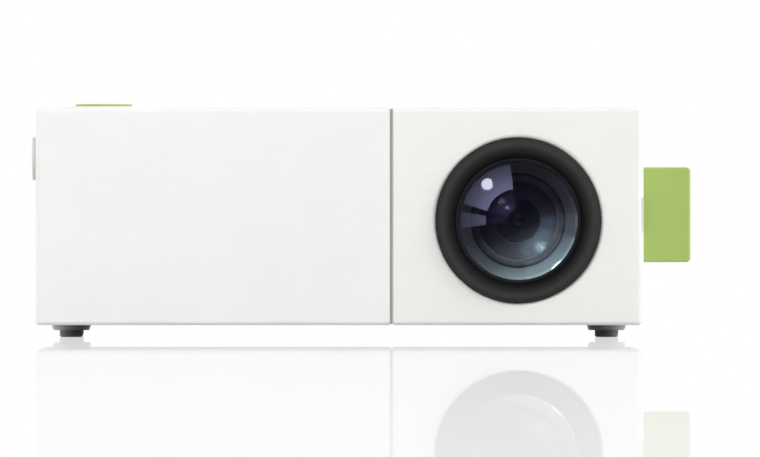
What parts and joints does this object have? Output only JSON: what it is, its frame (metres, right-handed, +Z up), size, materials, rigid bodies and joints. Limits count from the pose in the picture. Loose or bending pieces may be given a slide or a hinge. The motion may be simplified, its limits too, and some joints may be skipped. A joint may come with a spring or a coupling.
{
  "type": "home projector",
  "caption": "Small box-shaped home projector with a ringed lens mouth, a side focus tab, a round tilting navigation disc on top, side power button and rubber feet.",
  "frame": {"origin": "centre of the whole object's box in plan, on the surface that the feet stand on", "axes": "+Z up, +X to the right seen from the front, -Y is the way the lens looks"},
  "size_m": [0.1504, 0.0862, 0.0533],
  "materials": {
    "white_shell": "fine satin texture",
    "warm_white_shell": "fine satin texture",
    "grey_band": "satin",
    "grey_plastic": "matte",
    "steel": "plain",
    "brass": "turned",
    "gloss_black": "polished",
    "rubber": "matte",
    "ring_black": "soft matte",
    "barrel_black": "matte",
    "coated_glass": "violet and cyan coating",
    "clear_glass": "polished",
    "dark_glass": "polished",
    "mirror": "front-silvered",
    "ribbon": "satin",
    "aluminium": "milled",
    "emitter": "gel over diodes",
    "circuit_board": "solder mask",
    "component_black": "moulded",
    "socket_metal": "pressed sheet",
    "cone": "paper",
    "green": "soft satin",
    "white_key": "satin"
  },
  "bodies": {
    "housing": {"main_shell": "white_shell", "top_panel": "white_shell", "rear_panel": "white_shell", "lens_shell": "warm_white_shell", "seam_band": "grey_band", "base_plate": "grey_plastic", "base_screws": "steel", "tripod_insert": "brass", "foot_collars": "gloss_black", "foot_pads": "rubber", "lens_ring": "ring_black", "lens_sleeve": "barrel_black", "sleeve_screws": "steel", "engine_tray": "barrel_black", "engine_lid": "barrel_black", "engine_screws": "steel", "fold_mirror": "mirror", "condenser_lens": "clear_glass", "heat_glass": "clear_glass", "rear_fresnel": "clear_glass", "lcd_panel": "dark_glass", "front_fresnel": "clear_glass", "lcd_flex": "ribbon", "led_heatsink": "aluminium", "led_board": "aluminium", "led_emitter": "emitter", "fan_frame": "barrel_black", "main_board": "circuit_board", "board_parts": "component_black", "board_screws": "steel", "hdmi_socket": "socket_metal", "usb_socket": "socket_metal", "card_socket": "socket_metal", "audio_jack": "component_black", "av_jack": "component_black", "dc_jack": "component_black", "ir_window": "gloss_black", "ir_receiver": "circuit_board", "speaker": "socket_metal", "speaker_cone": "cone", "keypad_board": "circuit_board", "power_board": "circuit_board"},
    "focus": {"lens_barrel": "barrel_black", "lens_retainer": "barrel_black", "front_lens": "coated_glass", "baffle_ring": "barrel_black", "middle_lens": "coated_glass", "aperture_stop": "barrel_black", "inner_lens": "coated_glass", "rear_lens": "coated_glass", "focus_arm": "barrel_black", "focus_screws": "steel", "focus_tab": "green"},
    "nav_ring": {"nav_gimbal": "steel"},
    "nav": {"nav_disc": "green"},
    "ok": {"ok_button": "white_key"},
    "menu": {"menu_button": "white_key"},
    "source": {"source_button": "white_key"},
    "power": {"power_button": "white_key"},
    "fan": {"fan_rotor": "barrel_black"}
  },
  "joints": [
    {"name": "focus_slide", "type": "slide", "parent": "housing", "child": "focus", "axis": [0, -1, 0], "range_m": [-0.0035, 0.0035]},
    {"name": "nav_tilt_fore_aft", "type": "hinge", "parent": "housing", "child": "nav_ring", "pos_m": [-0.05898, -0.0219, 0.0478], "axis": [1, 0, 0], "range_deg": [-2, 2], "stiffness_Nm_per_rad": 0.2},
    {"name": "nav_tilt_sideways", "type": "hinge", "parent": "nav_ring", "child": "nav", "pos_m": [-0.05898, -0.0219, 0.0478], "axis": [0, 1, 0], "range_deg": [-2, 2], "stiffness_Nm_per_rad": 0.2},
    {"name": "ok_press", "type": "slide", "parent": "nav", "child": "ok", "axis": [0, 0, -1], "range_m": [0, 0.0003], "stiffness_N_per_m": 1500, "springref_m": -0.0003},
    {"name": "menu_press", "type": "slide", "parent": "housing", "child": "menu", "axis": [0, 0, -1], "range_m": [0, 0.00025], "stiffness_N_per_m": 1500, "springref_m": -0.0003},
    {"name": "source_press", "type": "slide", "parent": "housing", "child": "source", "axis": [0, 0, -1], "range_m": [0, 0.00025], "stiffness_N_per_m": 1500, "springref_m": -0.0003},
    {"name": "power_press", "type": "slide", "parent": "housing", "child": "power", "axis": [1, 0, 0], "range_m": [0, 0.0003], "stiffness_N_per_m": 1500, "springref_m": -0.0003},
    {"name": "fan_spin", "type": "hinge", "parent": "housing", "child": "fan", "pos_m": [-0.03915, -0.0224, 0.0268], "axis": [0, 1, 0], "continuous": true}
  ]
}
